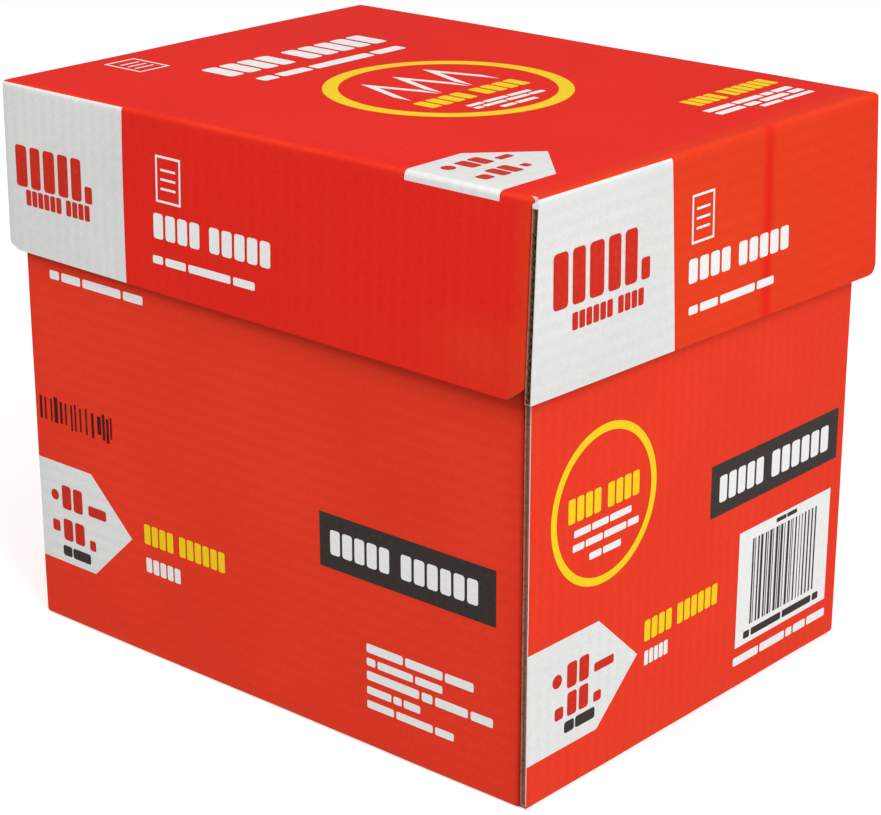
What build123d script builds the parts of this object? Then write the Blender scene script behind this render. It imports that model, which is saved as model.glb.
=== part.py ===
"""Carton of copy paper: a corrugated tray full of loose letter-size sheets, under a half-telescope lid.

+Z is up. The origin is the middle of the tray's underside. +X runs along the sheets' 11 inch side.
The tray and the lid are each one die-cut blank of B-flute board, folded up and glued at its corners:
the long walls end in glue tabs, which turn the corner and lie inside the end walls.
"""
from build123d import *
import os

os.makedirs("parts", exist_ok=True)

# Copy paper: letter size, 75 g/m2, 0.098 mm a sheet
SHEET_LENGTH = 279.4
SHEET_WIDTH = 215.9
SHEET_COUNT = 2500
SHEET_CALIPER = 0.098
STACK_HEIGHT = SHEET_COUNT * SHEET_CALIPER

# Corrugated board
BOARD = 3.0            # B-flute board, flat; its outer fold radius is one board as well
TAB = 1.8              # a glue tab, whose flutes the gluing press has crushed
TAB_LENGTH = 38.0
TAB_START = BOARD + 1.5  # the blank is notched between a tab and the panel it stands over
GLUE = 0.2             # film of hot-melt glue between a tab and its end wall
EDGE_SETBACK = 0.5     # an end wall's cut edges stop this short of the long walls' outer faces

# Room round the sheets and over them, and between the tray and the lid
SHEET_PLAY = 0.8
HEADSPACE = 3.0
LID_PLAY_LONG = 0.8    # at each long wall
LID_PLAY_END = 0.4     # at each end, between the lid's tabs and the tray

# Tray
TRAY_LENGTH = SHEET_LENGTH + 2 * (SHEET_PLAY + TAB + GLUE + BOARD)
TRAY_WIDTH = SHEET_WIDTH + 2 * (SHEET_PLAY + BOARD)
TRAY_HEIGHT = BOARD + STACK_HEIGHT + HEADSPACE

# Lid
LID_LENGTH = TRAY_LENGTH + 2 * (LID_PLAY_END + TAB + GLUE + BOARD)
LID_WIDTH = TRAY_WIDTH + 2 * (LID_PLAY_LONG + BOARD)
LID_DEPTH = 79.0
LID_FLARE = 2.5        # each long skirt leans out by this much at its lower edge
LID_TOP = TRAY_HEIGHT + BOARD
CORNER_CUT_LENGTH = 11.0  # slanting cut at both lower corners of a long skirt
CORNER_CUT_HEIGHT = 7.0
END_CORNER_RADIUS = 5.0   # lower corners of the end skirts on the +Y side

# Glue strips
GLUE_WIDTH = 24.0
GLUE_MARGIN = 8.0      # from a strip's ends to the ends of its tab


def folded_box(length, width, height, flare, cut_length, cut_height):
    """One blank folded into a box that opens upwards, standing on Z = 0.

    length and width are outside sizes at the folds. The long walls lean out by flare at the rim,
    and their rim corners, with the tabs, are cut away by cut_length and cut_height.
    """
    wall_half = length / 2 - BOARD - GLUE     # outer face of the glue tabs
    half_width = width / 2
    with BuildPart() as box:
        # Main panel, with the folds along both long sides
        with BuildSketch(Plane.YZ):
            with BuildLine():
                Polyline((-half_width, BOARD), (-half_width, TAB_START),
                         (-half_width + BOARD, TAB_START), (-half_width + BOARD, BOARD),
                         (half_width - BOARD, BOARD), (half_width - BOARD, TAB_START),
                         (half_width, TAB_START), (half_width, BOARD))
                RadiusArc((half_width, BOARD), (half_width - BOARD, 0), BOARD)
                Line((half_width - BOARD, 0), (-half_width + BOARD, 0))
                RadiusArc((-half_width + BOARD, 0), (-half_width, BOARD), BOARD)
            make_face()
        extrude(amount=wall_half - BOARD, both=True)

        # Long walls: each turns a rounded corner at both ends and goes on as a glue tab
        for side in (-1, 1):
            outer = side * half_width
            inward = -side
            tab_end = outer + inward * TAB_LENGTH
            face = outer + inward * BOARD
            with BuildSketch(Plane.XY.offset(TAB_START)):
                with BuildLine():
                    Polyline((wall_half, face), (wall_half, tab_end), (wall_half - TAB, tab_end),
                             (wall_half - TAB, face), (-wall_half + TAB, face),
                             (-wall_half + TAB, tab_end), (-wall_half, tab_end), (-wall_half, face))
                    RadiusArc((-wall_half, face), (-wall_half + BOARD, outer), -side * BOARD)
                    Line((-wall_half + BOARD, outer), (wall_half - BOARD, outer))
                    RadiusArc((wall_half - BOARD, outer), (wall_half, face), -side * BOARD)
                make_face()
            rise = height - TAB_START
            lean = Vector(0, side * flare, rise)
            extrude(amount=lean.length, dir=lean.normalized())

        # Slanting cuts at the rim corners, which take the tabs' rims down as well
        if cut_height:
            with BuildSketch(Plane.XZ):
                for end in (-1, 1):
                    with BuildLine():
                        Polyline((end * (wall_half - cut_length), height),
                                 (end * (wall_half - TAB), height - cut_height),
                                 (end * wall_half, height - cut_height),
                                 (end * wall_half, height),
                                 (end * (wall_half - cut_length), height))
                    make_face()
            extrude(amount=width, both=True, mode=Mode.SUBTRACT)

        # End walls: the main panel goes on past the long folds, turns up and covers the tabs
        for end in (-1, 1):
            inner = length / 2 - BOARD
            with BuildSketch(Plane.XY):
                with Locations((end * (inner + wall_half - BOARD) / 2, 0)):
                    Rectangle(inner - wall_half + BOARD, width - 2 * BOARD)
            extrude(amount=BOARD)
            fold_half = half_width - EDGE_SETBACK
            with BuildSketch(Plane.XZ):
                with BuildLine():
                    Polyline((end * inner, 0), (end * inner, BOARD), (end * length / 2, BOARD))
                    RadiusArc((end * length / 2, BOARD), (end * inner, 0), end * BOARD)
                make_face()
            extrude(amount=fold_half, both=True)
            with BuildSketch(Plane.YZ.offset(end * inner)):
                with BuildLine():
                    Polyline((-fold_half, BOARD), (fold_half, BOARD),
                             (fold_half + flare, height), (-fold_half - flare, height),
                             (-fold_half, BOARD))
                make_face()
            extrude(amount=end * BOARD)
    return box.part


def glue_strips(length, width, low, high):
    """Four upright strips of glue, one between each tab and its end wall."""
    with BuildPart() as strips:
        for end in (-1, 1):
            with BuildSketch(Plane.YZ.offset(end * (length / 2 - BOARD - GLUE))):
                for side in (-1, 1):
                    middle = side * (width / 2 - BOARD - GLUE_MARGIN - GLUE_WIDTH / 2)
                    with Locations((middle, (low + high) / 2)):
                        Rectangle(GLUE_WIDTH, high - low)
            extrude(amount=end * GLUE)
    return strips.part


# Tray: full height, so its rim carries the lid
with BuildPart() as base_tray:
    add(folded_box(TRAY_LENGTH, TRAY_WIDTH, TRAY_HEIGHT, 0, 0, 0))

with BuildPart() as tray_glue:
    add(glue_strips(TRAY_LENGTH, TRAY_WIDTH, TAB_START + GLUE_MARGIN, TRAY_HEIGHT - GLUE_MARGIN))

# Lid: the same fold, turned over, with leaning long skirts
lid_blank = folded_box(LID_LENGTH, LID_WIDTH, LID_DEPTH, LID_FLARE,
                       CORNER_CUT_LENGTH, CORNER_CUT_HEIGHT)
with BuildPart() as lid:
    with Locations(Location((0, 0, LID_TOP), (180, 0, 0))):
        add(lid_blank)
    end_corners = (lid.edges().filter_by(Axis.X).group_by(Axis.Z)[0]
                   .filter_by(lambda edge: edge.center().Y > 0 and abs(edge.center().X) > TRAY_LENGTH / 2))
    fillet(end_corners, radius=END_CORNER_RADIUS)

with BuildPart() as lid_glue:
    add(glue_strips(LID_LENGTH, LID_WIDTH, LID_TOP - LID_DEPTH + CORNER_CUT_HEIGHT + GLUE_MARGIN,
                    LID_TOP - TAB_START - GLUE_MARGIN))

# The 2500 loose sheets, squared up, as one block
with BuildPart() as paper_stack:
    with BuildSketch(Plane.XY.offset(BOARD)):
        Rectangle(SHEET_LENGTH, SHEET_WIDTH)
    extrude(amount=STACK_HEIGHT)

for name, piece in (("base_tray", base_tray), ("lid", lid), ("paper_stack", paper_stack),
                    ("tray_glue", tray_glue), ("lid_glue", lid_glue)):
    piece.part.label = name
    export_step(piece.part, f"parts/{name}.step")
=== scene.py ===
import math
import random

import bmesh
import bpy
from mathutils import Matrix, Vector


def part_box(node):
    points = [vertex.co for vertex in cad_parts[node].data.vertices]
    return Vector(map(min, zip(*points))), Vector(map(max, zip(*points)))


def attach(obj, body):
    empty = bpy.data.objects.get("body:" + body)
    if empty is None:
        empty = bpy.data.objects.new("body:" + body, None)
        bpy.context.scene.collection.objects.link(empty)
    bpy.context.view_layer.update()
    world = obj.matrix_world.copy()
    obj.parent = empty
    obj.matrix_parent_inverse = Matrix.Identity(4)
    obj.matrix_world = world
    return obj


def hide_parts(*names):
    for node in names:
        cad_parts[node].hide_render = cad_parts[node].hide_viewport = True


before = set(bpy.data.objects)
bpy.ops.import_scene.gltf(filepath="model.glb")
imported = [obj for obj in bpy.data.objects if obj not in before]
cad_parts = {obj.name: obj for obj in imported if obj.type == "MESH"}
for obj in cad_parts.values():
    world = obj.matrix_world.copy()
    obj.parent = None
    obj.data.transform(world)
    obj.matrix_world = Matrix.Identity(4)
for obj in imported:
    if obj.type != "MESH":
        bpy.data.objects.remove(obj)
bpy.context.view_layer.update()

# ---------------------------------------------------------------------------------------------
# Tray board. One die-cut blank of B-flute corrugated board, folded up along creases: the long
# walls turn the corners and end in glue tabs, which the end walls cover. Its flutes run along X.
# ---------------------------------------------------------------------------------------------
MM = 0.001
BOARD = 3 * MM             # B-flute board
FOLD = 2.2 * MM            # outer radius of a fold
FOLD_STEPS = 6             # facets round a fold
CELL = 8 * MM              # facets across the flat board, small enough to carry its unevenness
TAB_LENGTH = 38 * MM
TAB_RISE = 4.5 * MM        # the blank is notched between a tab and the panel it stands over
TAB_CRUSHED = 0.6          # share of the board's thickness left where the tabs were pressed
GLUE = 0.2 * MM
SETBACK = 0.5 * MM         # an end wall's cut edges stop this short of the long walls
LINER = 0.4 * MM           # paper on each side of the flutes, as it shows at a cut edge
CHANNEL = 5 * MM           # how deep the eye sees between the liners, across the flutes
GROOVE = 1.2 * MM          # and along them, where one flute closes the edge
UNEVENNESS = 0.5 * MM      # from the lowest to the highest place of a panel
UNEVEN_REACH = 90 * MM     # from one high place to the next
TRAY_BOW = 0.6 * MM        # how far the middle of a long wall stands out
SMOOTH = math.radians(35)  # sharper edges than this stay crisp
PRINTED, INSIDE, CUT, WHITE = range(4)   # the board's material slots


def near(value, place):
    return abs(value - place) < 0.05 * MM


def pick(piece, kind, test):
    """Selects, in edit mode, the vertices, edges or faces whose middle passes the test."""
    bpy.ops.mesh.select_mode(type=kind)
    bpy.ops.mesh.select_all(action="DESELECT")
    mesh = bmesh.from_edit_mesh(piece.data)
    for part in {"VERT": mesh.verts, "EDGE": mesh.edges, "FACE": mesh.faces}[kind]:
        corners = [part] if kind == "VERT" else list(part.verts)
        middle = sum((corner.co for corner in corners), Vector()) / len(corners)
        if test(middle):
            part.select_set(True)
    bmesh.update_edit_mesh(piece.data)


def turn_up(center, axis):
    """Folds the picked edges round a quarter turn about a crease."""
    bpy.ops.mesh.spin(steps=FOLD_STEPS, angle=math.pi / 2, center=center, axis=axis)


def draw_out(step):
    bpy.ops.mesh.extrude_region_move(TRANSFORM_OT_translate={"value": step})


def slice_picked(place, normal, clear=False):
    """Cuts the picked faces along a plane, and may clear what lies beyond it."""
    bpy.ops.mesh.bisect(plane_co=place, plane_no=Vector(normal).normalized(),
                        clear_outer=clear, threshold=0.01 * MM)


def slice_through(place, normal):
    bpy.ops.mesh.select_all(action="SELECT")
    slice_picked(place, normal)


def use(piece):
    """Makes a piece the only one selected, and the active one."""
    bpy.ops.object.select_all(action="DESELECT")
    piece.select_set(True)
    bpy.context.view_layer.objects.active = piece


def apply_modifier(piece, kind, **settings):
    use(piece)
    modifier = piece.modifiers.new(kind.lower(), kind)
    for setting, value in settings.items():
        setattr(modifier, setting, value)
    bpy.ops.object.modifier_apply(modifier=modifier.name)


def fold_blank(name, length, width, height, flush):
    """The outer skin of a blank, folded into a box that stands on Z = 0 and opens upwards.

    flush is the corner, as (end, side), where the long wall's fold has come out level with the
    end wall and hides its cut edge. At the other corners the end wall's edge shows.
    """
    tab_face = length / 2 - BOARD - GLUE
    flat_x = tab_face - FOLD
    flat_y = width / 2 - FOLD
    bpy.ops.object.select_all(action="DESELECT")
    bpy.ops.mesh.primitive_plane_add(size=1)
    blank = bpy.context.object
    blank.name = name
    bpy.ops.object.mode_set(mode="EDIT")
    bpy.ops.transform.resize(value=(2 * flat_x, 2 * flat_y, 1))

    # Long walls, each in two lifts, so that the tabs start above the notch. A wall and its fold
    # turn the corner together, as the board there is pinched shut.
    for side in (-1, 1):
        pick(blank, "EDGE", lambda m: near(m.y, side * flat_y))
        turn_up((0, side * flat_y, FOLD), (-side, 0, 0))
        draw_out((0, 0, TAB_RISE - FOLD))
        draw_out((0, 0, height - TAB_RISE))
        for end in (-1, 1):
            pick(blank, "EDGE", lambda m: near(m.x, end * flat_x)
                 and side * m.y > flat_y + 0.05 * MM)
            turn_up((end * flat_x, side * flat_y, 0), (0, 0, end * side))
            pick(blank, "EDGE", lambda m: near(m.x, end * tab_face) and near(m.y, side * flat_y)
                 and m.z > TAB_RISE + MM)
            draw_out((0, -side * BOARD, 0))
            draw_out((0, -side * (TAB_LENGTH - FOLD - BOARD), 0))

    # End walls, a little wider than the main panel
    for end in (-1, 1):
        fold_start = length / 2 - FOLD
        pick(blank, "EDGE", lambda m: near(m.x, end * flat_x) and near(m.z, 0)
             and abs(m.y) < flat_y)
        draw_out((end * (fold_start - flat_x), 0, 0))
        turn_up((end * fold_start, 0, FOLD), (0, end, 0))
        draw_out((0, 0, height - FOLD))
        for side in (-1, 1):
            step = -BOARD - GLUE if (end, side) == flush else FOLD - SETBACK
            pick(blank, "VERT", lambda m: end * m.x > fold_start - 0.1 * MM
                 and near(m.y, side * flat_y) and not near(m.x, end * tab_face))
            mesh = bmesh.from_edit_mesh(blank.data)
            for vertex in mesh.verts:
                if vertex.select:
                    drop = 1 - min(vertex.co.z / FOLD, 1)      # the fold's own end is rounded
                    vertex.co.y += side * step * math.sqrt(1 - drop ** 2)
            bmesh.update_edit_mesh(blank.data)
    pick(blank, "VERT", lambda m: flush[0] * m.x > flat_x - 0.1 * MM
         and flush[1] * m.y > flat_y - 0.1 * MM and m.z > 0.05 * MM)
    bpy.ops.transform.translate(value=(flush[0] * (BOARD + GLUE), 0, 0))

    # Facets across the flat parts
    for axis, low, high in ((0, -flat_x, flat_x), (1, -flat_y, flat_y), (2, TAB_RISE, height)):
        normal = [0, 0, 0]
        normal[axis] = 1
        count = round((high - low) / CELL)
        for step in range(1, count):
            place = [0, 0, 0]
            place[axis] = low + (high - low) * step / count
            slice_through(place, normal)
    bpy.ops.mesh.select_all(action="SELECT")
    bpy.ops.mesh.remove_doubles(threshold=0.01 * MM)
    bpy.ops.mesh.normals_make_consistent(inside=False)
    bpy.ops.object.mode_set(mode="OBJECT")
    panel = min(blank.data.polygons, key=lambda face: face.center.length)
    if panel.normal.z > 0:
        blank.data.flip_normals()

    # Where the tabs were pressed
    tabs = blank.vertex_groups.new(name="tabs")
    tabs.add([v.index for v in blank.data.vertices
              if near(abs(v.co.x), tab_face) and abs(v.co.y) < flat_y - MM], 1, "REPLACE")
    return blank


def mark_fold_wear_and_painted_light(blank):
    """Says how far each point lies round a fold: a quarter turn's middle gets 1, flat board 0.

    Level folds get a share that is both wear and a painted highlight, and the upright ones on the
    +X side a share of painted shade.
    """
    rubbed_and_lit = blank.data.attributes.new("rubbed_and_lit", "FLOAT", "POINT")
    painted_fold_shade = blank.data.attributes.new("painted_fold_shade", "FLOAT", "POINT")
    for vertex in blank.data.vertices:
        x, y, z = (abs(part) for part in vertex.normal)
        rubbed_and_lit.data[vertex.index].value = 2 * z * max(x, y)
        painted_fold_shade.data[vertex.index].value = 2 * x * y if vertex.normal.x > 0 else 0


def swell(blank, length, width, height, amount):
    """Bows each wall, and the main panel, outwards between its edges."""
    for vertex in blank.data.vertices:
        x, y, z = vertex.co
        across = [max(0, 1 - (2 * x / length) ** 2), max(0, 1 - (2 * y / width) ** 2),
                  max(0, 1 - (2 * z / height - 1) ** 2)]
        if near(abs(x), length / 2):
            vertex.co.x += math.copysign(amount / 2 * across[1] * across[2], x)
        elif near(abs(y), width / 2):
            vertex.co.y += math.copysign(amount * across[0] * across[2], y)


def give_thickness(blank, materials, open_rims, grooved_rims):
    """Gives the skin the board's thickness inwards, and opens its cut edges between the liners."""
    for material in materials:
        blank.data.materials.append(material)
    unevenness = bpy.data.textures.new(blank.name + "_unevenness", "CLOUDS")
    unevenness.noise_scale = UNEVEN_REACH
    apply_modifier(blank, "DISPLACE", texture=unevenness, strength=UNEVENNESS, mid_level=0.5)
    for vertex in blank.data.vertices:
        vertex.co.z = max(0, vertex.co.z)    # the main panel lies flat on what it stands on
    apply_modifier(blank, "SOLIDIFY", thickness=BOARD, offset=-1, vertex_group="tabs",
                   invert_vertex_group=True, thickness_vertex_group=TAB_CRUSHED,
                   material_offset=INSIDE, material_offset_rim=CUT)
    bpy.ops.object.mode_set(mode="EDIT")
    bpy.ops.mesh.select_mode(type="FACE")
    for rims, depth in ((open_rims, CHANNEL), (grooved_rims, GROOVE)):
        bpy.ops.mesh.select_all(action="DESELECT")
        mesh = bmesh.from_edit_mesh(blank.data)
        for face in mesh.faces:
            if face.material_index == CUT and rims(face.calc_center_median()):
                face.select_set(True)
        bmesh.update_edit_mesh(blank.data)
        bpy.ops.mesh.inset(thickness=LINER, use_boundary=True, use_even_offset=False)
        bpy.ops.mesh.inset(thickness=0, depth=-depth, use_even_offset=False)
    bpy.ops.object.mode_set(mode="OBJECT")


def linear(colour):
    """An sRGB hex colour, as the linear one that shaders take."""
    channels = [int(colour[place:place + 2], 16) / 255 for place in (1, 3, 5)]
    return [c / 12.92 if c <= 0.04045 else ((c + 0.055) / 1.055) ** 2.4 for c in channels] + [1]


def node(tree, kind, settings=None, inputs=None):
    """Adds a node with its settings, and with a value or a link for each input named."""
    made = tree.nodes.new(kind)
    for setting, value in (settings or {}).items():
        setattr(made, setting, value)
    for socket, value in (inputs or {}).items():
        if isinstance(value, bpy.types.NodeSocket):
            tree.links.new(value, made.inputs[socket])
        else:
            made.inputs[socket].default_value = value
    return made


def start_material(name):
    material = bpy.data.materials.new(name)
    material.use_nodes = True
    material.node_tree.nodes.clear()
    return material


FLUTE = 6.4 * MM           # B-flute: about 157 flutes a metre


def printed_liner(name, ink, rubbed_and_lit_colour, fold_shade_colour, walls_across, roughness, marks_and_painted_light=()):
    """Flexo-printed white-top liner: satin ink with the washboard of the flutes under it and
    painted shade in its hollows, mottled like any print on board, paler along the level folds, as
    rubbed and as a painted highlight, and with painted shade on the upright folds of the +X side.

    walls_across is the flat axis that the flutes follow one another along. The walls that face
    along it carry level flutes, which follow one another up Z. Each mark is a soft spot of another
    colour, as (middle in mm, reach along each axis in mm, colour, share); some are ink and wear,
    and some are a painted highlight.
    """
    material = start_material(name)
    tree = material.node_tree
    coordinates = node(tree, "ShaderNodeTexCoord").outputs
    place = node(tree, "ShaderNodeSeparateXYZ", {}, {0: coordinates["Object"]}).outputs
    facing = node(tree, "ShaderNodeSeparateXYZ", {}, {0: coordinates["Normal"]}).outputs
    turned = node(tree, "ShaderNodeMath", {"operation": "ABSOLUTE"}, {0: facing[walls_across]})
    is_wall = node(tree, "ShaderNodeMath", {"operation": "GREATER_THAN"}, {0: turned.outputs[0],
                                                                         1: 0.7})
    along = node(tree, "ShaderNodeMix", {"data_type": "FLOAT"},
                 {0: is_wall.outputs[0], 2: place[walls_across], 3: place[2]})
    phase = node(tree, "ShaderNodeMath", {"operation": "MULTIPLY"},
                 {0: along.outputs[0], 1: 2 * math.pi / FLUTE})
    wave = node(tree, "ShaderNodeMath", {"operation": "SINE"}, {0: phase.outputs[0]})
    patches = node(tree, "ShaderNodeTexNoise", {},
                   {"Vector": coordinates["Object"], "Scale": 14, "Detail": 3})
    washboard = node(tree, "ShaderNodeMath", {"operation": "MULTIPLY"},
                     {0: wave.outputs[0], 1: patches.outputs["Fac"]})
    # Mottle of ink on board, about 1.5 mm across
    mottle = node(tree, "ShaderNodeTexNoise", {},
                  {"Vector": coordinates["Object"], "Scale": 650, "Detail": 4})
    # Lightness: painted shade darkens the flutes' hollows by a few hundredths, and the mottle
    # varies it as much
    shade = node(tree, "ShaderNodeMath", {"operation": "MULTIPLY_ADD"},
                 {0: washboard.outputs[0], 1: 0.03, 2: 1.0})
    drift = node(tree, "ShaderNodeMapRange", {},
                 {0: patches.outputs["Fac"], 1: 0.3, 2: 0.7, 3: -0.03, 4: 0.03})
    grain = node(tree, "ShaderNodeMapRange", {},
                 {0: mottle.outputs["Fac"], 1: 0.3, 2: 0.7, 3: -0.04, 4: 0.04})
    shade = node(tree, "ShaderNodeMath", {"operation": "ADD"},
                 {0: shade.outputs[0], 1: drift.outputs[0]})
    shade = node(tree, "ShaderNodeMath", {"operation": "ADD"},
                 {0: shade.outputs[0], 1: grain.outputs[0]})
    # Folds: the level ones paler, as rubbed and as a painted highlight; the upright ones on the +X
    # side darker, as painted shade
    rubbed_and_lit = node(tree, "ShaderNodeAttribute", {"attribute_name": "rubbed_and_lit"})
    painted_fold_shade = node(tree, "ShaderNodeAttribute", {"attribute_name": "painted_fold_shade"})
    # paler level folds: rubbed ink and a painted highlight together
    rubbed_and_lit_share = node(tree, "ShaderNodeMapRange", {},
                   {0: patches.outputs["Fac"], 1: 0.35, 2: 0.65, 3: 0.35, 4: 0.9})
    rubbed_and_lit_share = node(tree, "ShaderNodeMath", {"operation": "MULTIPLY", "use_clamp": True},
                   {0: rubbed_and_lit_share.outputs[0], 1: rubbed_and_lit.outputs["Fac"]})
    wear_and_painted_light = node(tree, "ShaderNodeMix", {"data_type": "RGBA"},
                {0: rubbed_and_lit_share.outputs[0], 6: linear(ink), 7: linear(rubbed_and_lit_colour)})
    # painted shade: darkens the upright folds on the +X side
    fold_shade_share = node(tree, "ShaderNodeMath", {"operation": "MULTIPLY", "use_clamp": True},
                {0: painted_fold_shade.outputs["Fac"], 1: 0.8})
    wear_and_painted_light = node(tree, "ShaderNodeMix", {"data_type": "RGBA"},
                {0: fold_shade_share.outputs[0], 6: wear_and_painted_light.outputs[2], 7: linear(fold_shade_colour)})
    # each spot is mixed in; the lid's end-skirt spot is a painted highlight, the others ink and
    # wear
    for middle, reach, spot_colour, share in marks_and_painted_light:
        spot = node(tree, "ShaderNodeMapping", {"vector_type": "TEXTURE"},
                    {0: coordinates["Object"], "Location": [part * MM for part in middle],
                     "Scale": [part * MM for part in reach]})
        fade = node(tree, "ShaderNodeTexGradient", {"gradient_type": "SPHERICAL"},
                    {0: spot.outputs[0]})
        amount = node(tree, "ShaderNodeMath", {"operation": "MULTIPLY"},
                      {0: fade.outputs["Fac"], 1: share})
        wear_and_painted_light = node(tree, "ShaderNodeMix", {"data_type": "RGBA"},
                    {0: amount.outputs[0], 6: wear_and_painted_light.outputs[2], 7: linear(spot_colour)})
    colour = node(tree, "ShaderNodeHueSaturation", {},
                  {"Value": shade.outputs[0], "Color": wear_and_painted_light.outputs[2]})
    grit = node(tree, "ShaderNodeBump", {}, {"Strength": 0.5, "Distance": 0.03 * MM,
                                             "Height": mottle.outputs["Fac"]})
    relief = node(tree, "ShaderNodeBump", {}, {"Strength": 1.0, "Distance": 0.016 * MM,
                                               "Height": washboard.outputs[0],
                                               "Normal": grit.outputs[0]})
    shader = node(tree, "ShaderNodeBsdfPrincipled", {},
                  {"Base Color": colour.outputs[0], "Roughness": roughness,
                   "Specular IOR Level": 0.02, "Normal": relief.outputs[0]})
    node(tree, "ShaderNodeOutputMaterial", {}, {"Surface": shader.outputs[0]})
    return material


def kraft_paper(name, colour, fibre_colour, stretch):
    """Unbleached kraft: matt brown paper with longer, darker fibres in its making direction."""
    material = start_material(name)
    tree = material.node_tree
    coordinates = node(tree, "ShaderNodeTexCoord").outputs
    mapping = node(tree, "ShaderNodeMapping", {}, {0: coordinates["Object"], "Scale": stretch})
    fibres = node(tree, "ShaderNodeTexNoise", {},
                  {"Vector": mapping.outputs[0], "Scale": 900, "Detail": 3})
    clouds = node(tree, "ShaderNodeTexNoise", {},
                  {"Vector": coordinates["Object"], "Scale": 60, "Detail": 2})
    share = node(tree, "ShaderNodeMapRange", {}, {0: fibres.outputs["Fac"], 1: 0.45, 2: 0.75})
    brown = node(tree, "ShaderNodeMix", {"data_type": "RGBA"},
                 {0: share.outputs[0], 6: linear(colour), 7: linear(fibre_colour)})
    shade = node(tree, "ShaderNodeMapRange", {},
                 {0: clouds.outputs["Fac"], 1: 0.3, 2: 0.7, 3: 0.93, 4: 1.06})
    colour = node(tree, "ShaderNodeHueSaturation", {},
                  {"Value": shade.outputs[0], "Color": brown.outputs[2]})
    relief = node(tree, "ShaderNodeBump", {}, {"Strength": 0.6, "Distance": 0.03 * MM,
                                               "Height": fibres.outputs["Fac"]})
    shader = node(tree, "ShaderNodeBsdfPrincipled", {},
                  {"Base Color": colour.outputs[0], "Roughness": 0.85,
                   "Normal": relief.outputs[0]})
    node(tree, "ShaderNodeOutputMaterial", {}, {"Surface": shader.outputs[0]})
    return material


FACES_X, FACES_Y = 0, 1
tray_low, tray_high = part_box("base_tray")
tray_length = tray_high.x - tray_low.x
tray_width = tray_high.y - tray_low.y
tray_height = tray_high.z
tray_red = printed_liner("tray_red_flexo_print", "#EA3D27", "#F0552C", "#A81E18", FACES_Y, 0.55)
tray_white = printed_liner("tray_white_top_liner", "#E6E6E4", "#E9E8E6", "#D2CDC5", FACES_Y, 0.55)
kraft_inside = kraft_paper("kraft_liner_inside", "#BE9765", "#9C7748", (1, 0.2, 1))
kraft_edge = kraft_paper("kraft_cut_edge", "#AC755E", "#7C4C38", (1, 1, 1))

tray = fold_blank("tray_board", tray_length, tray_width, tray_height, flush=(-1, -1))

# Outlines of the two white arrows, which point away from the near corner, in mm: the square end
# runs into the corner and stops at the shoulder, and the point lies at the middle level
TRAY_FRONT_ARROW = {"low": 30, "high": 79, "middle": 54.5, "shoulder": -108, "point": -82}
TRAY_END_ARROW = {"low": 19.5, "high": 68, "middle": 43.75, "shoulder": -66.5, "point": -40}


def cut_arrow(board, facing, wall, across, arrow):
    """Scores an arrow's outline into the facets of one wall."""
    low, high, middle, shoulder, point = (part * MM for part in arrow.values())
    up = Vector((0, 0, 1))
    out = Vector((0, 0, 0))
    out[across] = 1
    lines = [(low, 0, up), (high, 0, up), (0, shoulder, out)]
    tip = Vector((0, 0, middle))
    tip[across] = point
    for level in (low, high):
        corner = Vector((0, 0, level))
        corner[across] = shoulder
        slope = corner - tip
        normal = Vector((0, 0, slope[across]))
        normal[across] = -slope.z
        pick(board, "FACE", lambda m: near(m[facing], wall))
        slice_picked(tip, normal)
    for level, reach, normal in lines:
        place = Vector((0, 0, level))
        place[across] = reach
        pick(board, "FACE", lambda m: near(m[facing], wall))
        slice_picked(place, normal)


def inside_arrow(reach, place, arrow):
    """Whether a face lies on an arrow, by its reach along it and its place across it."""
    low, high, middle, shoulder, point = (part * MM for part in arrow.values())
    if not low < place < high:
        return False
    share = (place - low) / (middle - low) if place < middle else (high - place) / (high - middle)
    return reach < shoulder + (point - shoulder) * share


use(tray)
bpy.ops.object.mode_set(mode="EDIT")
cut_arrow(tray, 1, tray_low.y, 0, TRAY_FRONT_ARROW)
cut_arrow(tray, 0, tray_high.x, 1, TRAY_END_ARROW)
for level in (TRAY_FRONT_ARROW["low"], TRAY_FRONT_ARROW["high"]):
    pick(tray, "FACE", lambda m: m.x < tray_low.x + 8 * MM and m.y < tray_low.y + 4 * MM)
    slice_picked((0, 0, level * MM), (0, 0, 1))
bpy.ops.object.mode_set(mode="OBJECT")
swell(tray, tray_length, tray_width, tray_height, TRAY_BOW)
mark_fold_wear_and_painted_light(tray)
give_thickness(tray, [tray_red, kraft_inside, kraft_edge, tray_white],
               lambda m: near(m.z, tray_height) and abs(m.x) > tray_high.x - BOARD - MM
               and (m.x > 0 or m.y > -tray_high.y + 2 * BOARD),
               lambda m: abs(m.x) > tray_high.x - BOARD - 0.1 * MM and (m.x > 0 or m.y > 0)
               and FOLD < m.z < tray_height - MM and abs(m.y) > tray_high.y - SETBACK - MM)
for face in tray.data.polygons:
    x, y, z = face.center
    on_front = y < tray_low.y + FOLD and face.normal.x < 0.95
    on_end = x > tray_high.x - MM and face.normal.x > 0.9
    if face.material_index == CUT and abs(x) > tray_high.x - LINER:
        face.material_index = WHITE          # the bleached top ply of the end walls' outer liner
    if face.material_index != PRINTED:
        continue
    if on_front and inside_arrow(x, z, TRAY_FRONT_ARROW):
        face.material_index = WHITE
    if on_end and inside_arrow(y, z, TRAY_END_ARROW):
        face.material_index = WHITE
use(tray)
bpy.ops.object.shade_smooth_by_angle(angle=SMOOTH)
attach(tray, "tray")
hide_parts("base_tray")

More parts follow.
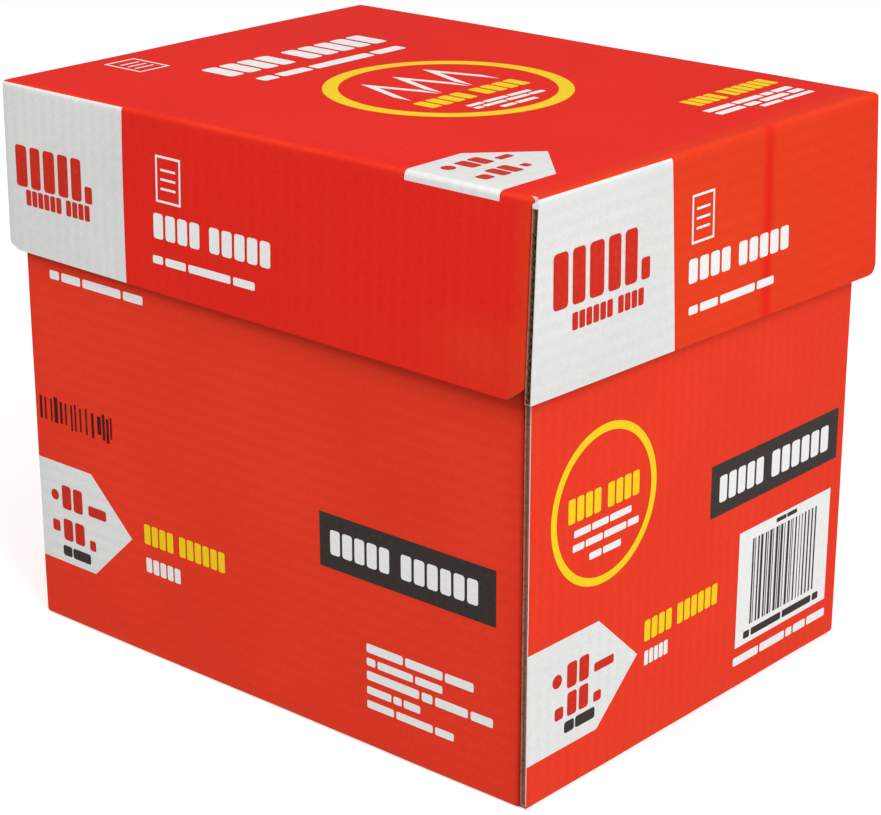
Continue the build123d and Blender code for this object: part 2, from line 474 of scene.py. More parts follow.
# ---------------------------------------------------------------------------------------------
# Tray fluting. The corrugated medium between the two liners, a wave of thin brown kraft. It shows
# where the blank is cut across its flutes, along the rims of the two end walls.
# ---------------------------------------------------------------------------------------------
MEDIUM = 0.25 * MM         # paper of the medium
WAVE_HEIGHT = BOARD / 2 - LINER - 0.1 * MM
WAVE_STEPS = 8             # facets a flute


def settle(piece, place, turn=(0, 0, 0)):
    """Moves and turns a piece, and writes its new place into its mesh."""
    piece.location = place
    piece.rotation_euler = turn
    use(piece)
    bpy.ops.object.transform_apply(location=True, rotation=True, scale=True)


def join_up(name, pieces):
    """Joins like pieces into the first of them."""
    use(pieces[0])
    if len(pieces) > 1:
        for piece in pieces:
            piece.select_set(True)
        bpy.ops.object.join()
    pieces[0].name = name
    return pieces[0]


def fluting(name, strips):
    """Wavy strips, each (length, middle, turn): a strip is made lying along X, then settled."""
    made = []
    for length, middle, turn in strips:
        bpy.ops.object.select_all(action="DESELECT")
        bpy.ops.mesh.primitive_grid_add(x_subdivisions=round(length / FLUTE * WAVE_STEPS),
                                        y_subdivisions=1, size=1)
        strip = bpy.context.object
        bpy.ops.object.mode_set(mode="EDIT")
        bpy.ops.transform.resize(value=(length, CHANNEL - 0.2 * MM, 1))
        bpy.ops.object.mode_set(mode="OBJECT")
        for vertex in strip.data.vertices:
            vertex.co.z = WAVE_HEIGHT * math.sin(2 * math.pi * vertex.co.x / FLUTE)
        apply_modifier(strip, "SOLIDIFY", thickness=MEDIUM, offset=0)
        settle(strip, middle, turn)
        made.append(strip)
    return join_up(name, made)


QUARTER = math.pi / 2
# The medium's own brown, darkened further as painted shade for the deep channel between the liners
kraft_medium_and_painted_shade = kraft_paper("kraft_fluting_medium_and_painted_shade", "#6E4732", "#4C2D1F", (1, 1, 1))
rim_level = tray_height - CHANNEL / 2 - 0.1 * MM
tray_fluting = fluting("tray_fluting", [
    (tray_width - 2 * BOARD, (end * (tray_high.x - BOARD / 2), 0, rim_level), (QUARTER, 0, QUARTER))
    for end in (-1, 1)])
tray_fluting.data.materials.append(kraft_medium_and_painted_shade)
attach(tray_fluting, "tray")

# ---------------------------------------------------------------------------------------------
# Paper. 2500 loose letter-size sheets of white copy paper, squared up in the tray. The sides show
# the sheets' edges, and the top few sheets have slipped a little.
# ---------------------------------------------------------------------------------------------
SHEET_COUNT = 2500
SLIPPED = ((0.5, 0.3, 0.15), (-0.4, -0.5, -0.1), (0.2, 0.6, 0.2))   # mm, mm, degrees


def copy_paper():
    """Woodfree copy paper: bright, very matt white, with the stack's sides lined by sheet edges."""
    material = start_material("woodfree_copy_paper")
    tree = material.node_tree
    coordinates = node(tree, "ShaderNodeTexCoord").outputs
    # Real sheets are 0.1 mm thick: bands of about a dozen sheets are drawn, so that they show
    mapping = node(tree, "ShaderNodeMapping", {}, {0: coordinates["Object"],
                                                   "Scale": (12, 12, 900)})
    edges = node(tree, "ShaderNodeTexNoise", {}, {"Vector": mapping.outputs[0], "Scale": 1,
                                                  "Detail": 3})
    facing = node(tree, "ShaderNodeSeparateXYZ", {}, {0: coordinates["Normal"]}).outputs
    side = node(tree, "ShaderNodeMath", {"operation": "SUBTRACT", "use_clamp": True},
                {0: 1.0, 1: facing[2]})
    line = node(tree, "ShaderNodeMapRange", {}, {0: edges.outputs["Fac"], 1: 0.35, 2: 0.65})
    line = node(tree, "ShaderNodeMath", {"operation": "MULTIPLY"},
                {0: line.outputs[0], 1: side.outputs[0]})
    colour = node(tree, "ShaderNodeMix", {"data_type": "RGBA"},
                  {0: line.outputs[0], 6: linear("#F4F5F6"), 7: linear("#D5D6D8")})
    relief = node(tree, "ShaderNodeBump", {}, {"Strength": 0.7, "Distance": 0.1 * MM,
                                               "Height": line.outputs[0]})
    shader = node(tree, "ShaderNodeBsdfPrincipled", {},
                  {"Base Color": colour.outputs[2], "Roughness": 0.9,
                   "Normal": relief.outputs[0]})
    node(tree, "ShaderNodeOutputMaterial", {}, {"Surface": shader.outputs[0]})
    return material


stack_low, stack_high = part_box("paper_stack")
stack_size = stack_high - stack_low
bpy.ops.object.select_all(action="DESELECT")
bpy.ops.mesh.primitive_cube_add(size=1, location=(stack_low + stack_high) / 2)
stack = bpy.context.object
bpy.ops.object.mode_set(mode="EDIT")
bpy.ops.transform.resize(value=stack_size)
LEVELS = 40                # cuts up the stack's sides, where bundles of sheets stand proud or back
for level in range(1, LEVELS):
    slice_through((0, 0, stack_low.z + stack_size.z * level / LEVELS), (0, 0, 1))
bpy.ops.object.mode_set(mode="OBJECT")
settle(stack, stack.location)
random.seed(5)
STANDS_BACK = -0.35 * MM   # a bundle of sheets ends up to this far inside the block
shift = {}
for vertex in stack.data.vertices:
    level = round(vertex.co.z / stack_size.z * 1000)
    shift.setdefault(level, (random.uniform(STANDS_BACK, 0), random.uniform(STANDS_BACK, 0)))
    vertex.co.x += math.copysign(shift[level][0], vertex.co.x)
    vertex.co.y += math.copysign(shift[level][1], vertex.co.y)
sheets = [stack]
sheet_thickness = stack_size.z / SHEET_COUNT
CURL = 0.5 * MM            # how far the top sheet's corners have curled up
for number, (slide_x, slide_y, twist) in enumerate(SLIPPED):
    bpy.ops.object.select_all(action="DESELECT")
    bpy.ops.mesh.primitive_plane_add(size=1)
    sheet = bpy.context.object
    bpy.ops.object.mode_set(mode="EDIT")
    bpy.ops.transform.resize(value=(stack_size.x - MM, stack_size.y - MM, 1))
    bpy.ops.mesh.subdivide(number_cuts=11)
    bpy.ops.object.mode_set(mode="OBJECT")
    apply_modifier(sheet, "SOLIDIFY", thickness=sheet_thickness, offset=1)
    level = stack_high.z + (number * 1.6 + 0.4) * sheet_thickness
    settle(sheet, (slide_x * MM, slide_y * MM, level), (0, 0, math.radians(twist)))
    for vertex in sheet.data.vertices:
        reach = abs(2 * vertex.co.x / stack_size.x) ** 6 * abs(2 * vertex.co.y / stack_size.y) ** 6
        vertex.co.z += CURL * reach * (number + 1) / len(SLIPPED)
    sheets.append(sheet)
join_up("copy_paper_stack", sheets)
stack.data.materials.append(copy_paper())
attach(stack, "tray")
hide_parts("paper_stack")

# ---------------------------------------------------------------------------------------------
# Lid board. A second blank of the same board, folded the same way and turned over. Its flutes run
# along Y, so the long skirts' lower edges and the end skirts' upright edges show the waves.
# ---------------------------------------------------------------------------------------------
LID_PLAY = 0.8 * MM        # between a long skirt and the tray
LID_BOW = 0.4 * MM         # how far the middle of a long skirt stands out
BACK_CORNER = 5 * MM       # radius of the end skirts' lower corners at the back
lid_low, lid_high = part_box("lid")
lid_length = lid_high.x - lid_low.x
lid_width = tray_width + 2 * (LID_PLAY + BOARD)
lid_top = lid_high.z
lid_depth = lid_high.z - lid_low.z
# A painted highlight that makes the whole end skirt more orange than the rest, a scuff at the front
# skirt's near corner, and a strip of heavier ink down the end skirt
LID_MARKS_AND_PAINTED_LIGHT = (((152, 0, 215), (14, 400, 400), "#E4401F", 1),
             ((126, -118, 190), (36, 30, 20), "#E45228", 0.3),
             ((152, 33, 205), (6, 5.5, 200), "#E61E16", 1))
lid_red = printed_liner("lid_red_flexo_print", "#E62A20", "#EE4226", "#A51A1A", FACES_X, 0.55,
                        LID_MARKS_AND_PAINTED_LIGHT)
lid_white = printed_liner("lid_white_top_liner", "#E0E0DF", "#F0EFED", "#DAD6CF", FACES_X, 0.55)
lid = fold_blank("lid_board", lid_length, lid_width, lid_depth, flush=(-1, 1))

# Slanting cuts that clear the long skirts' lower corners, in mm along and up. The one at the
# front skirt's far end, whose fold has come out, starts a board further out.
CORNER_CUTS = {(1, 1): (8.5, 6), (-1, 1): (3.8, 1.8), (1, -1): (11, 7), (-1, -1): (11, 7)}
lid_tab_face = lid_length / 2 - BOARD - GLUE
use(lid)
bpy.ops.object.mode_set(mode="EDIT")
for (end, side), (along, up) in CORNER_CUTS.items():
    # Before the lid is turned over, its front skirt stands on the +Y side
    pick(lid, "FACE", lambda m: end * m.x > 0 and side * m.y > 0 and m.z > FOLD
         and abs(m.x) < lid_length / 2 - 0.02 * MM)
    slice_picked((end * (lid_tab_face - along * MM), 0, lid_depth), (end * up, 0, along), True)

# The end skirts' lower corners at the back are rounded
for end in (-1, 1):
    pick(lid, "VERT", lambda m: near(m.x, end * lid_length / 2) and near(m.z, lid_depth)
         and m.y < -lid_width / 2 + SETBACK + 0.1 * MM)
    bpy.ops.mesh.bevel(offset=BACK_CORNER, segments=5, affect="VERTICES")

# Outlines of the white fields: the block at the left of each skirt, and the arrow on the top,
# which starts on the front skirt, just under the fold
FRONT_BLOCK = -72.5 * MM   # right edge of the front skirt's block
END_BLOCK_TOP = -33.3 * MM # right edge of the end skirt's block, at the top and at the bottom
END_BLOCK_LOW = -28 * MM
END_BLOCK_SLANT = (END_BLOCK_LOW - END_BLOCK_TOP) / lid_depth
TOP_ARROW = {"low": 86, "high": 132.8, "middle": 109, "shoulder": -82.5, "point": -58}
TOP_ARROW_START = 250 * MM # level on the front skirt where the arrow begins
slice_through((FRONT_BLOCK, 0, 0), (1, 0, 0))
slice_through((0, -END_BLOCK_TOP, 0), (0, 1, END_BLOCK_SLANT))
slice_through((TOP_ARROW["low"] * MM, 0, 0), (1, 0, 0))
slice_through((TOP_ARROW["high"] * MM, 0, 0), (1, 0, 0))
slice_through((0, -TOP_ARROW["shoulder"] * MM, 0), (0, 1, 0))
slice_through((0, 0, lid_top - TOP_ARROW_START), (0, 0, 1))
for edge in ("low", "high"):
    along = (TOP_ARROW["middle"] - TOP_ARROW[edge]) * MM
    out = (TOP_ARROW["point"] - TOP_ARROW["shoulder"]) * MM
    pick(lid, "FACE", lambda m: near(m.z, 0) and m.x > 80 * MM and m.y > 50 * MM)
    slice_picked((TOP_ARROW["middle"] * MM, -TOP_ARROW["point"] * MM, 0), (out, along, 0))
bpy.ops.object.mode_set(mode="OBJECT")
swell(lid, lid_length, lid_width, lid_depth, LID_BOW)
mark_fold_wear_and_painted_light(lid)
give_thickness(lid, [lid_red, kraft_inside, kraft_edge, lid_white],
               lambda m: m.x > lid_high.x - BOARD - 0.1 * MM and FOLD + MM < m.z < lid_depth - MM
               or near(m.z, lid_depth) and abs(m.y) > lid_width / 2 - BOARD - MM
               and abs(m.x) < lid_length / 2 - 16 * MM,
               lambda m: near(m.z, lid_depth) and abs(m.x) > lid_high.x - BOARD - MM
               and abs(m.y) < lid_width / 2 - 24 * MM)
settle(lid, (0, 0, lid_top), (math.pi, 0, 0))

for face in lid.data.polygons:
    x, y, z = face.center
    if face.material_index == CUT:
        if z > lid_top - FOLD - MM and abs(x) > lid_tab_face - FOLD - MM:
            # Ink has run round the ends of the folds; the front end one is inside the white block
            face.material_index = WHITE if x > 0 > y and z < lid_top - 0.5 * FOLD else PRINTED
        elif abs(x) > lid_high.x - LINER:
            face.material_index = WHITE      # the bleached top ply of the end skirts' outer liner
    if face.material_index != PRINTED:
        continue
    below_fold = z < lid_top - 0.3 * FOLD    # the blocks start halfway round the top's folds
    if below_fold and y < -lid_width / 2 + FOLD and x < FRONT_BLOCK:
        face.material_index = WHITE
    elif (below_fold and x > lid_high.x - FOLD
          and y < END_BLOCK_TOP + END_BLOCK_SLANT * (lid_top - z)):
        face.material_index = WHITE
    elif z > TOP_ARROW_START and inside_arrow(y, x, TOP_ARROW):
        face.material_index = WHITE

# The skirts stand out unevenly at their lower edges, most at the near corner, and the lid sits a
# little askew: a lattice round the lid has its four lower corners moved, in mm
LOWER_CORNERS = {(-1, -1): (-0.5, -0.3, 3.0), (1, -1): (0.5, -4.0, 0.4),
                 (-1, 1): (-0.5, 2.5, 0.5), (1, 1): (2.5, 2.5, -1.75)}
bpy.ops.object.select_all(action="DESELECT")
bpy.ops.object.add(type="LATTICE", location=(0, 0, (lid_top + lid_low.z) / 2))
cage = bpy.context.object
cage.scale = (lid_length, lid_width, lid_depth)
for direction in "uvw":
    setattr(cage.data, "interpolation_type_" + direction, "KEY_LINEAR")
for point in cage.data.points:
    end = round(math.copysign(1, point.co.x))
    side = round(math.copysign(1, point.co.y))
    if point.co.z < 0:
        move = LOWER_CORNERS[(end, side)]
        point.co_deform = Vector((point.co.x + move[0] * MM / lid_length,
                                  point.co.y + move[1] * MM / lid_width,
                                  point.co.z + move[2] * MM / lid_depth))
apply_modifier(lid, "LATTICE", object=cage)
bpy.ops.object.shade_smooth_by_angle(angle=SMOOTH)
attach(lid, "lid")
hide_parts("lid")

# ---------------------------------------------------------------------------------------------
# Lid fluting. The wavy medium at the lid's open edges: upright along both sides of each end
# skirt, and level along the lower edge of each long skirt.
# ---------------------------------------------------------------------------------------------
lid_fluting = fluting("lid_fluting", [
    (lid_depth - 14 * MM, (lid_high.x - BOARD / 2,
                           side * (lid_width / 2 - SETBACK - CHANNEL / 2 - 0.1 * MM),
                           lid_low.z + lid_depth / 2 - 6 * MM), (0, -QUARTER, 0))
    for side in (-1, 1)] + [
    (lid_length - 36 * MM, (0, side * (lid_width / 2 - BOARD / 2),
                            lid_low.z + CHANNEL / 2 + 0.1 * MM), (QUARTER, 0, 0))
    for side in (-1, 1)])
lid_fluting.data.materials.append(kraft_medium_and_painted_shade)
apply_modifier(lid_fluting, "LATTICE", object=cage)
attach(lid_fluting, "lid")

# ---------------------------------------------------------------------------------------------
# Glue. Thin strips of hot-melt, pressed flat between each tab and its end wall. The tray's strips
# are the frame's own; the lid's are a copy that leans with the skirts.
# ---------------------------------------------------------------------------------------------


def hot_melt():
    """EVA hot-melt glue: smooth, waxy and amber, slightly cloudy where it was squeezed."""
    material = start_material("eva_hot_melt_glue")
    tree = material.node_tree
    coordinates = node(tree, "ShaderNodeTexCoord").outputs
    clouds = node(tree, "ShaderNodeTexNoise", {}, {"Vector": coordinates["Object"], "Scale": 180,
                                                   "Detail": 3})
    colour = node(tree, "ShaderNodeMix", {"data_type": "RGBA"},
                  {0: clouds.outputs["Fac"], 6: linear("#D9B978"), 7: linear("#C89F58")})
    relief = node(tree, "ShaderNodeBump", {}, {"Strength": 0.5, "Distance": 0.1 * MM,
                                               "Height": clouds.outputs["Fac"]})
    shader = node(tree, "ShaderNodeBsdfPrincipled", {},
                  {"Base Color": colour.outputs[2], "Roughness": 0.35,
                   "Normal": relief.outputs[0]})
    node(tree, "ShaderNodeOutputMaterial", {}, {"Surface": shader.outputs[0]})
    return material


glue_finish = hot_melt()
tray_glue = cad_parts["tray_glue"]
tray_glue.data.materials.clear()
tray_glue.data.materials.append(glue_finish)
lid_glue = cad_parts["lid_glue"].copy()
lid_glue.data = lid_glue.data.copy()
lid_glue.name = "lid_glue_strips"
lid_glue.parent = None
for key in [key for key in lid_glue.keys() if key.startswith("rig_")]:
    del lid_glue[key]
bpy.context.scene.collection.objects.link(lid_glue)
use(lid_glue)
bpy.ops.object.mode_set(mode="EDIT")
bpy.ops.mesh.select_all(action="SELECT")
bpy.ops.mesh.remove_doubles(threshold=0.001 * MM)
bpy.ops.object.mode_set(mode="OBJECT")
lid_glue.data.materials.clear()
lid_glue.data.materials.append(glue_finish)
apply_modifier(lid_glue, "LATTICE", object=cage)
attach(lid_glue, "lid")
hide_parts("lid_glue")

# ---------------------------------------------------------------------------------------------
# Print on the tray. Flexo ink with no lettering: rows of plain blocks stand where words would
# be, with plain bars, a ring and a label. Each ink is a film a few hundredths of a millimetre
# thick, laid flat as on its printing plate and then pressed onto its wall.
# ---------------------------------------------------------------------------------------------
FILM = 0.04 * MM           # thickness of an ink film
FILM_CELL = 6 * MM         # facets across a film, so that it follows the board


def add_block(left, right, low, high):
    """One flat block of ink, in mm, added to the plate in edit mode."""
    middle = Vector(((left + right) / 2, (low + high) / 2, 0)) * MM
    width, height = (right - left) * MM, (high - low) * MM
    bpy.ops.mesh.primitive_grid_add(x_subdivisions=math.ceil(width / FILM_CELL),
                                    y_subdivisions=math.ceil(height / FILM_CELL),
                                    size=1, location=middle)
    bpy.ops.transform.resize(value=(width, height, 1), center_override=middle)


def add_rectangle(left, right, low, high):
    """One flat rectangle without facets, in mm."""
    middle = Vector(((left + right) / 2, (low + high) / 2, 0)) * MM
    bpy.ops.mesh.primitive_plane_add(size=1, location=middle)
    bpy.ops.transform.resize(value=((right - left) * MM, (high - low) * MM, 1),
                             center_override=middle)


def add_tile(left, right, low, high):
    """A small block with rounded corners, in mm."""
    add_rectangle(left, right, low, high)
    bpy.ops.mesh.bevel(offset=0.22 * min(right - left, high - low) * MM, segments=3,
                       affect="VERTICES")


def add_words(left, right, low, high, words, gap=0.2):
    """A row of upright rounded tiles, one for each letter, in mm."""
    letters = sum(words) + 0.6 * (len(words) - 1)
    pitch = (right - left) / letters
    reach = left
    for count in words:
        for _ in range(count):
            add_tile(reach, reach + pitch * (1 - gap), low, high)
            reach += pitch
        reach += 0.6 * pitch


def add_bars(left, right, low, high, shares):
    """A line of small print, in mm: one plain bar for each word, by its share of the line."""
    total = sum(shares) + 0.25 * (len(shares) - 1)
    reach = left
    for share in shares:
        length = (right - left) * share / total
        add_tile(reach, reach + length, low, high)
        reach += length + (right - left) * 0.25 / total


def add_ring(x, y, radius, band):
    """A closed ring, in mm."""
    bpy.ops.mesh.primitive_circle_add(vertices=96, radius=radius * MM, fill_type="NOTHING",
                                      location=(x * MM, y * MM, 0))
    bpy.ops.mesh.extrude_region_move()
    share = (radius - band) / radius
    bpy.ops.transform.resize(value=(share, share, 1), center_override=(x * MM, y * MM, 0))


def add_dot(x, y, radius):
    bpy.ops.mesh.primitive_circle_add(vertices=20, radius=radius * MM, fill_type="NGON",
                                      location=(x * MM, y * MM, 0))


# How the plate is turned for each wall, where it stands just clear of it, and its pressing axis
FRONT_FACE, END_FACE, TOP_FACE = (QUARTER, 0, 0), (QUARTER, 0, QUARTER), (0, 0, QUARTER)
PLATES = {FRONT_FACE: ((0, -0.13, 0), "y"), END_FACE: ((0.16, 0, 0), "x"),
          TOP_FACE: ((0, 0, 0.27), "z")}


def press_on(name, board, face, lift, ink, draw):
    """Draws one ink's blocks flat, stands them before their wall and presses them onto it."""
    bpy.ops.object.select_all(action="DESELECT")
    bpy.ops.mesh.primitive_plane_add(size=MM)
    film = bpy.context.object
    film.name = name
    bpy.ops.object.mode_set(mode="EDIT")
    bpy.ops.mesh.select_mode(type="VERT")
    bpy.ops.mesh.select_all(action="SELECT")
    bpy.ops.mesh.delete(type="VERT")
    draw()
    bpy.ops.mesh.select_all(action="SELECT")
    bpy.ops.mesh.normals_make_consistent(inside=False)
    bpy.ops.object.mode_set(mode="OBJECT")
    for flipped in [polygon for polygon in film.data.polygons if polygon.normal.z < 0]:
        flipped.flip()
    away, axis = PLATES[face]
    settle(film, away, face)
    apply_modifier(film, "SHRINKWRAP", target=board, wrap_method="PROJECT",
                   use_project_x=axis == "x", use_project_y=axis == "y",
                   use_project_z=axis == "z", use_positive_direction=axis == "y",
                   use_negative_direction=axis != "y")
    settle(film, Vector(away).normalized() * lift)
    apply_modifier(film, "SOLIDIFY", thickness=FILM, offset=1)
    film.data.materials.append(ink)
    return film


def printing_ink(name, colour, worn_colour, roughness):
    """Water-based flexo ink: flat satin colour, a little thin where the plate pressed less."""
    material = start_material(name)
    tree = material.node_tree
    coordinates = node(tree, "ShaderNodeTexCoord").outputs
    mottle = node(tree, "ShaderNodeTexNoise", {}, {"Vector": coordinates["Object"],
                                                   "Scale": 500, "Detail": 4})
    share = node(tree, "ShaderNodeMapRange", {}, {0: mottle.outputs["Fac"], 1: 0.45, 2: 0.8,
                                                  3: 0.0, 4: 0.5})
    mixed = node(tree, "ShaderNodeMix", {"data_type": "RGBA"},
                 {0: share.outputs[0], 6: linear(colour), 7: linear(worn_colour)})
    shader = node(tree, "ShaderNodeBsdfPrincipled", {},
                  {"Base Color": mixed.outputs[2], "Roughness": roughness,
                   "Specular IOR Level": 0.04})
    node(tree, "ShaderNodeOutputMaterial", {}, {"Surface": shader.outputs[0]})
    return material


def print_on(board, films, body):
    """Presses each ink's films onto the board, and joins them into one piece for each ink."""
    for name, parts in films.items():
        print_piece = join_up(name, [press_on(part, board, face, lift, ink, draw)
                                     for part, face, lift, ink, draw in parts])
        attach(print_piece, body)


white_ink = printing_ink("white_flexo_ink", "#F2F2F0", "#E6DCD8", 0.5)
yellow_ink = printing_ink("yellow_flexo_ink", "#F8D31F", "#EDBE2A", 0.5)
dark_ink = printing_ink("dark_grey_flexo_ink", "#35302E", "#4A3C38", 0.45)
red_ink = printing_ink("red_flexo_ink", "#CC2C1C", "#D8463A", 0.5)
code_ink = printing_ink("black_inkjet_ink", "#3A1512", "#7A1F1A", 0.6)


def tray_front_white():
    add_bars(-129, -68, 167, 171, (1, 2, 4, 2))
    add_words(-73, -50, 41.5, 48.5, (5,))
    add_bars(60.5, 118.5, 44, 48, (4, 4, 3))
    add_bars(60.5, 102, 38, 41.5, (1, 4, 3))
    add_bars(60.5, 128.5, 31.5, 35.5, (5, 1, 3, 2))
    add_bars(60.5, 90, 25, 28.5, (3, 1, 2))
    add_bars(60.5, 108, 18.5, 22, (3, 4, 2))


def tray_front_yellow():
    add_words(-73.5, -21.5, 55, 64.5, (4, 6))


def tray_front_dark():
    add_block(35, 129.7, 76, 100.3)
    add_bars(-130, -111, 33.5, 38.5, (2, 4))


def tray_front_bar_white():
    add_words(41, 75, 82.5, 93.5, (5,))
    add_words(80, 122, 82.5, 93.5, (6,))


def tray_front_red():
    add_dot(-134, 62.4, 2.6)
    add_words(-129, -113.5, 57, 68.5, (2,))
    add_bars(-111, -99, 58, 63, (1,))
    add_tile(-136.5, -131.5, 44.5, 50)
    add_words(-129, -113, 41.5, 52, (2,))
    add_bars(-111, -107, 41, 46, (1,))


def tray_front_code():
    """A batch code's dots, as plain strokes of uneven height."""
    random.seed(11)
    reach = -141
    while reach < -91:
        low = 97 + random.uniform(0, 3)
        high = 111 - random.uniform(0, 3)
        add_block(reach, reach + random.choice((0.9, 1.4, 2.2)), low, high)
        reach += random.choice((2.6, 3.4, 4.0))


def tray_end_white():
    add_bars(-84, -47, 109.5, 112.5, (3, 3, 4))
    add_bars(-84.7, -42, 103.5, 106.5, (2, 3, 4, 2))
    add_bars(-74, -53.5, 97, 100, (2, 3))
    add_block(32, 103, 20, 74.5)
    add_bars(31, 103.5, 11.5, 15.5, (4, 4, 1, 2, 3))
    add_words(-35, -18, 36.5, 43, (5,))


def tray_end_bar_white():
    add_words(15, 49, 94, 106, (5,))
    add_words(54, 100, 94, 106, (6,))


def tray_end_yellow():
    add_ring(-64.5, 118.3, 34, 3.5)
    add_words(-87.8, -41, 116, 126.5, (4, 4))
    add_words(-35.5, 17.5, 47.5, 57, (4, 6))


def tray_end_dark():
    add_block(9, 106.2, 88.2, 112)
    add_bars(-87.7, -68, 25.5, 30.5, (2, 4))


def tray_end_red():
    add_dot(-92.7, 50.5, 3)
    add_words(-86.4, -70.8, 45, 56, (2,))
    add_bars(-68.8, -56, 46, 50, (1,))
    add_tile(-94, -88.5, 33, 38.5)
    add_words(-86, -71, 32.5, 43, (2,))
    add_bars(-69, -64, 32.5, 37, (1,))


def tray_end_bars():
    """Plain upright bars of random widths on the label, which stand for no number."""
    random.seed(23)
    reach = 42.3
    while reach < 92.5:
        width = random.choice((0.6, 0.6, 1.1, 1.7))
        add_block(reach, reach + width, 28.5, 69)
        reach += width + random.choice((0.7, 1.1, 1.7))
    add_bars(60, 76, 71, 73, (3, 3))
    add_bars(38, 97, 22.5, 26, (1, 5, 5, 1))


LIFT = 0.08 * MM           # a film stands this far off the board
OVER = 0.16 * MM           # a second film, printed over a first
tray_films = {
    "tray_white_print": [
        ("front_white", FRONT_FACE, LIFT, white_ink, tray_front_white),
        ("front_bar_white", FRONT_FACE, OVER, white_ink, tray_front_bar_white),
        ("end_white", END_FACE, LIFT, white_ink, tray_end_white),
        ("end_bar_white", END_FACE, OVER, white_ink, tray_end_bar_white)],
    "tray_yellow_print": [
        ("front_yellow", FRONT_FACE, LIFT, yellow_ink, tray_front_yellow),
        ("end_yellow", END_FACE, LIFT, yellow_ink, tray_end_yellow)],
    "tray_dark_print": [
        ("front_dark", FRONT_FACE, LIFT, dark_ink, tray_front_dark),
        ("end_dark", END_FACE, LIFT, dark_ink, tray_end_dark),
        ("end_bars", END_FACE, OVER, dark_ink, tray_end_bars)],
    "tray_red_print": [
        ("front_red", FRONT_FACE, LIFT, red_ink, tray_front_red),
        ("end_red", END_FACE, LIFT, red_ink, tray_end_red)],
    "tray_inkjet_code": [
        ("front_code", FRONT_FACE, OVER, code_ink, tray_front_code)],
}
print_on(tray, tray_films, "tray")

# ---------------------------------------------------------------------------------------------
# Print on the lid. The same inks and the same plain rows on the front skirt, the end skirt and
# the top, whose rows are read from the +X end.
# ---------------------------------------------------------------------------------------------


def add_chevron(left, right, low, high, line):
    """A plain chevron, in mm: a short upright line, drawn out to the point and down again."""
    start = Vector((left, low + line / 2, 0)) * MM
    bpy.ops.mesh.primitive_plane_add(size=line * MM, location=start)
    bpy.ops.transform.resize(value=(0, 1, 1), center_override=start)
    bpy.ops.mesh.remove_doubles(threshold=0.01 * MM)
    climb = high - low - line
    for rise in (climb, -climb):
        draw_out(((right - left) / 2 * MM, rise * MM, 0))


def add_page(left, low, width, height, line):
    """A plain sheet of paper in outline, in mm, with three lines across it."""
    add_rectangle(left, left + width, low, low + height)
    bpy.ops.mesh.inset(thickness=line * MM)
    bpy.ops.mesh.delete(type="FACE")
    for share in (0.3, 0.5, 0.7):
        level = low + share * height
        add_block(left + 3 * line, left + width - 3 * line, level - line / 2, level + line / 2)


def add_bold_row(left, low, scale):
    """A large row in mm: five tall tiles and a small one."""
    for start, width, height in ((0, 8, 20), (10.4, 7, 20), (19.8, 8, 20), (30.2, 7, 20),
                                 (39.6, 7, 20), (49, 5, 8)):
        add_tile(left + start * scale, left + (start + width) * scale, low, low + height * scale)


def lid_front_red():
    add_bold_row(-143, 208, 0.93)
    add_words(-137, -94, 200, 207, (6, 4))


def lid_front_white():
    add_page(-52, 217, 15, 20, 1)
    add_words(-54, 16.5, 201, 212, (4, 5))
    add_bars(-55, 6, 190, 193.5, (1, 2, 4, 2))


def lid_end_red():
    add_bold_row(-106.5, 209, 1.1)
    add_words(-95, -50, 199, 206, (6, 4))


def lid_end_white():
    add_page(-20, 216, 15, 20, 1)
    add_words(-21.5, 49.6, 200, 210, (4, 5))
    add_bars(-21, 38, 187, 190.5, (1, 2, 4, 2))


def lid_top_white():
    """Seen from the +X end: right is +Y, and up is -X."""
    add_page(-66, 115, 18, 24, 1.2)
    add_words(-46, 58, 78, 98, (4, 5))
    add_bars(-42, 50, 61, 68, (1, 2, 4, 2))
    for left in (-29, -9, 11):
        add_chevron(left, left + 18, -12, 25, 10)
    add_bars(-21, 20, -38, -35, (2, 3, 3))
    add_bars(-21.7, 23.5, -42.8, -39.8, (1, 3, 3, 2))
    add_bars(-12, 11, -49, -46, (2, 3))
    add_bars(36, 98, -119, -115, (3, 3, 1, 2))
    add_bars(36, 98, -125, -121, (2, 1, 2, 1))
    add_bars(60, 98, -130, -127, (2, 3))


def lid_top_yellow():
    add_ring(0.3, -7.4, 54.3, 6.8)
    add_words(-33, 33, -28, -16, (4, 4))
    add_words(43, 103, -109, -98, (4, 6))


def lid_top_red():
    add_dot(-103, -97, 3)
    add_words(-97, -82, -104, -94, (2,))
    add_bars(-80, -72, -104, -100, (1,))
    add_tile(-107, -101, -119, -113)
    add_words(-98, -84, -120, -110, (2,))
    add_bars(-82, -78, -118, -114, (1,))


lid_films = {
    "lid_white_print": [
        ("lid_front_white", FRONT_FACE, LIFT, white_ink, lid_front_white),
        ("lid_end_white", END_FACE, LIFT, white_ink, lid_end_white),
        ("lid_top_white", TOP_FACE, LIFT, white_ink, lid_top_white)],
    "lid_yellow_print": [
        ("lid_top_yellow", TOP_FACE, LIFT, yellow_ink, lid_top_yellow)],
    "lid_red_print": [
        ("lid_front_red", FRONT_FACE, LIFT, red_ink, lid_front_red),
        ("lid_end_red", END_FACE, LIFT, red_ink, lid_end_red),
        ("lid_top_red", TOP_FACE, LIFT, red_ink, lid_top_red)],
}
print_on(lid, lid_films, "lid")
bpy.data.objects.remove(cage)

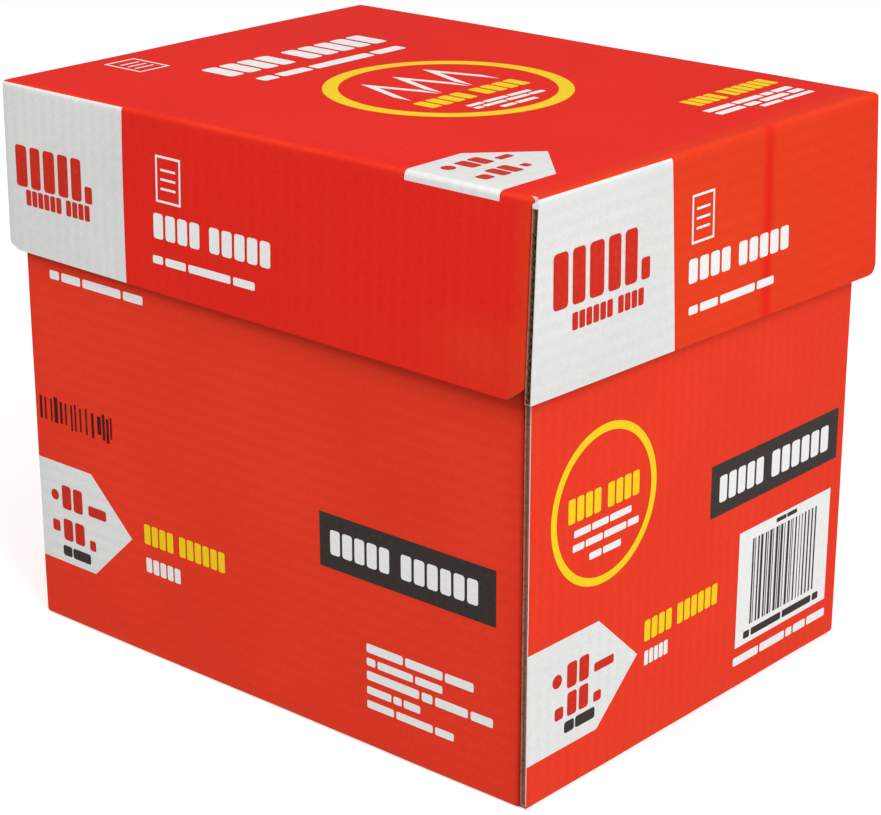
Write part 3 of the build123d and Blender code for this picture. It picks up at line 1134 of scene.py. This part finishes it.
# ---------------------------------------------------------------------------------------------
# Studio. A wide white floor, which glows a little and throws no light back at the carton, an even
# white surround, a large soft light from the right, a smaller one from the front, and the camera.
# ---------------------------------------------------------------------------------------------
FLOOR_SIZE = 12            # metres
FLOOR_GLOW = 0.38          # brightness, where 1 shows as pure white
SURROUND = 0.5             # the same
bpy.ops.object.select_all(action="DESELECT")
bpy.ops.mesh.primitive_plane_add(size=FLOOR_SIZE)
floor = bpy.context.object
floor.name = "studio_floor"
paper_floor = start_material("matt_white_backdrop_paper")
shader = node(paper_floor.node_tree, "ShaderNodeBsdfPrincipled", {},
              {"Base Color": linear("#FAFAF9"), "Roughness": 0.9,
               "Emission Color": (1, 1, 1, 1), "Emission Strength": FLOOR_GLOW})
node(paper_floor.node_tree, "ShaderNodeOutputMaterial", {}, {"Surface": shader.outputs[0]})
floor.data.materials.append(paper_floor)
floor.visible_diffuse = False    # its light would fill the shadow under the lid

world = bpy.data.worlds.new("studio_surround")
world.use_nodes = True
background = world.node_tree.nodes["Background"].inputs
background["Color"].default_value = (1, 1, 1, 1)
background["Strength"].default_value = SURROUND
bpy.context.scene.world = world
bpy.context.scene.view_settings.view_transform = "Standard"

# Each light's place in metres, power in watts and width in metres
target = Vector((0, 0, 0.12))
for name, place, power, size in (("key_light", (1.9, -0.5, 1.35), 34, 1.4),
                                 ("front_light", (-0.3, -1.5, 1.6), 13, 0.8)):
    bpy.ops.object.light_add(type="AREA", location=place)
    light = bpy.context.object
    light.name = name
    light.data.energy = power
    light.data.size = size
    light.rotation_euler = (target - light.location).to_track_quat("-Z", "Y").to_euler()

LOOKS_DOWN = 20.02         # degrees below the horizon
LOOKS_ROUND = 41.12        # degrees from the front towards the +X end
LENS = 101.8               # mm, on a sensor 36 mm wide
bpy.ops.object.camera_add(location=(0.697, -0.7948, 0.4913),
                          rotation=(math.radians(90 - LOOKS_DOWN), 0, math.radians(LOOKS_ROUND)))
camera = bpy.context.object
camera.data.lens = LENS
camera.data.sensor_width = 36
bpy.context.scene.camera = camera
